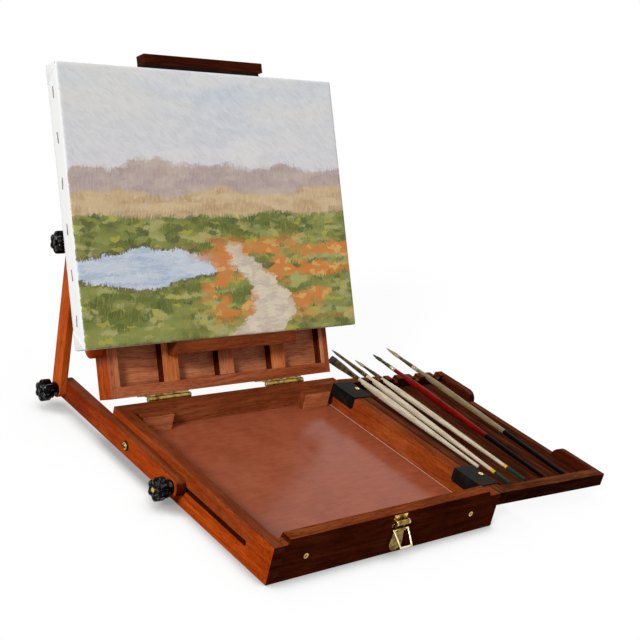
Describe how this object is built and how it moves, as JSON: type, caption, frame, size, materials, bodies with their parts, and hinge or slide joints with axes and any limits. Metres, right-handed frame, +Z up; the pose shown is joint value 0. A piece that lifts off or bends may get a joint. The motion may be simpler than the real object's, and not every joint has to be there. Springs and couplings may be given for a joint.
{
  "type": "pochade box",
  "caption": "Wooden pochade box with a palette tray, a hinged lid clamping a stretched canvas, a sliding side prop, a draw latch and a hook-on brush tray with loose brushes.",
  "frame": {"origin": "centre of the tray's underside, at the mouth of the tripod nut", "axes": "+X to the right seen from the front latch, +Y from the latch to the hinges, +Z up"},
  "size_m": [0.5085, 0.468, 0.355],
  "materials": {
    "stained_wood": "semi-gloss reddish stain",
    "plywood": "satin stain",
    "light_wood": "satin",
    "brass": "polished",
    "steel": "plain",
    "palette_sheet": "clear gloss",
    "knob_black": "gloss",
    "hook_black": "matt",
    "grip_rubber": "matt",
    "pine": "raw",
    "canvas": "primed cloth",
    "cream_handle": "lacquer",
    "red_handle": "lacquer",
    "tan_handle": "lacquer"
  },
  "bodies": {
    "tray": {"tray_front": "stained_wood", "tray_back": "stained_wood", "tray_left": "stained_wood", "tray_right": "stained_wood", "tray_base": "plywood", "tripod_nut": "steel", "palette_cleats": "plywood", "rear_blocks": "stained_wood", "front_screws": "brass", "tray_hinge_leaves": "brass", "hinge_pins": "brass", "tray_screws": "brass", "latch_plate": "brass", "latch_pin": "brass"},
    "lid": {"lid_left": "stained_wood", "lid_right": "stained_wood", "lid_foot": "stained_wood", "lid_top": "stained_wood", "lid_liners": "light_wood", "lid_inner_panel": "plywood", "lid_outer_panel": "plywood", "lid_pads": "light_wood", "mast_guides": "plywood", "lid_bar": "stained_wood", "lid_hinge_leaves": "brass", "lid_screws": "brass", "latch_strike": "brass", "lower_clamp": "stained_wood"},
    "mast": {"mast": "stained_wood", "upper_clamp": "stained_wood", "clamp_grip": "grip_rubber"},
    "canvas": {"stretcher_bars": "pine", "canvas_cloth": "canvas", "canvas_staples": "steel"},
    "palette": {"palette_board": "plywood", "palette_glass": "palette_sheet"},
    "side_rail": {"side_rail": "stained_wood", "rail_clamp_bolt": "brass", "rail_guide_screw": "brass", "slide_washers": "brass", "strut_pivot_bolt": "steel"},
    "rail_knob": {"rail_knob": "knob_black"},
    "strut": {"strut": "stained_wood", "strut_top_bolt": "steel"},
    "strut_lower_knob": {"strut_lower_knob": "knob_black"},
    "strut_upper_knob": {"strut_upper_knob": "knob_black"},
    "latch_lever": {"latch_lever": "brass"},
    "latch_bail": {"latch_bail": "brass"},
    "side_tray": {"side_tray_floor": "plywood", "side_tray_left_rail": "stained_wood", "side_tray_front_rail": "stained_wood", "side_tray_right_rail": "stained_wood", "side_tray_back_rail": "stained_wood", "side_tray_hooks": "hook_black", "hook_screws": "brass"},
    "brush_flat_cream": {"brush_flat_cream": "cream_handle"},
    "brush_round_cream": {"brush_round_cream": "cream_handle"},
    "brush_filbert_cream": {"brush_filbert_cream": "cream_handle"},
    "brush_flat_red": {"brush_flat_red": "red_handle"},
    "brush_filbert_tan": {"brush_filbert_tan": "tan_handle"}
  },
  "joints": [
    {"name": "lid_hinge", "type": "hinge", "parent": "tray", "child": "lid", "pos_m": [0, 0.13785, 0.0375], "axis": [1, 0, 0], "range_deg": [0, 60]},
    {"name": "rail_slide", "type": "slide", "parent": "tray", "child": "side_rail", "axis": [0, -1, 0], "range_m": [0, 0.058]},
    {"name": "strut_pivot", "type": "hinge", "parent": "side_rail", "child": "strut", "pos_m": [-0.161, 0.21325, 0.0198], "axis": [1, 0, 0], "range_deg": [0, 35]},
    {"name": "rail_knob_turn", "type": "hinge", "parent": "side_rail", "child": "rail_knob", "pos_m": [-0.166, 0.00675, 0.0198], "axis": [-1, 0, 0], "range_deg": [0, 360]},
    {"name": "strut_lower_knob_turn", "type": "hinge", "parent": "side_rail", "child": "strut_lower_knob", "pos_m": [-0.176, 0.21325, 0.0198], "axis": [-1, 0, 0], "range_deg": [0, 360]},
    {"name": "strut_upper_knob_turn", "type": "hinge", "parent": "strut", "child": "strut_upper_knob", "pos_m": [-0.176, 0.22883, 0.17592], "axis": [-1, 0, 0], "range_deg": [0, 360]},
    {"name": "mast_slide", "type": "slide", "parent": "lid", "child": "mast", "axis": [0, 0.4818, 0.8763], "range_m": [0, 0.05]},
    {"name": "canvas_lift", "type": "slide", "parent": "lid", "child": "canvas", "axis": [0, -0.8763, 0.4818], "range_m": [0, 0.025]},
    {"name": "palette_lift", "type": "slide", "parent": "tray", "child": "palette", "axis": [0, 0, 1], "range_m": [0, 0.028]},
    {"name": "side_tray_lift", "type": "slide", "parent": "tray", "child": "side_tray", "axis": [0, 0, 1], "range_m": [0, 0.018]},
    {"name": "latch_lever_turn", "type": "hinge", "parent": "tray", "child": "latch_lever", "pos_m": [0.004, -0.13785, 0.0356], "axis": [-1, 0, 0], "range_deg": [0, 135]},
    {"name": "latch_bail_turn", "type": "hinge", "parent": "latch_lever", "child": "latch_bail", "pos_m": [0.004, -0.13805, 0.0284], "axis": [-1, 0, 0], "range_deg": [0, 70]},
    {"name": "brush_flat_cream_lift", "type": "slide", "parent": "side_tray", "child": "brush_flat_cream", "axis": [0, 0, 1], "range_m": [0, 0.02]},
    {"name": "brush_round_cream_lift", "type": "slide", "parent": "side_tray", "child": "brush_round_cream", "axis": [0, 0, 1], "range_m": [0, 0.02]},
    {"name": "brush_filbert_cream_lift", "type": "slide", "parent": "side_tray", "child": "brush_filbert_cream", "axis": [0, 0, 1], "range_m": [0, 0.02]},
    {"name": "brush_flat_red_lift", "type": "slide", "parent": "side_tray", "child": "brush_flat_red", "axis": [0, 0, 1], "range_m": [0, 0.02]},
    {"name": "brush_filbert_tan_lift", "type": "slide", "parent": "side_tray", "child": "brush_filbert_tan", "axis": [0, 0, 1], "range_m": [0, 0.02]}
  ],
  "couplings": [
    {"joint": "rail_slide", "follows": "lid_hinge", "m_per_rad": 0.055004},
    {"joint": "strut_pivot", "follows": "lid_hinge", "ratio": 0.58}
  ]
}
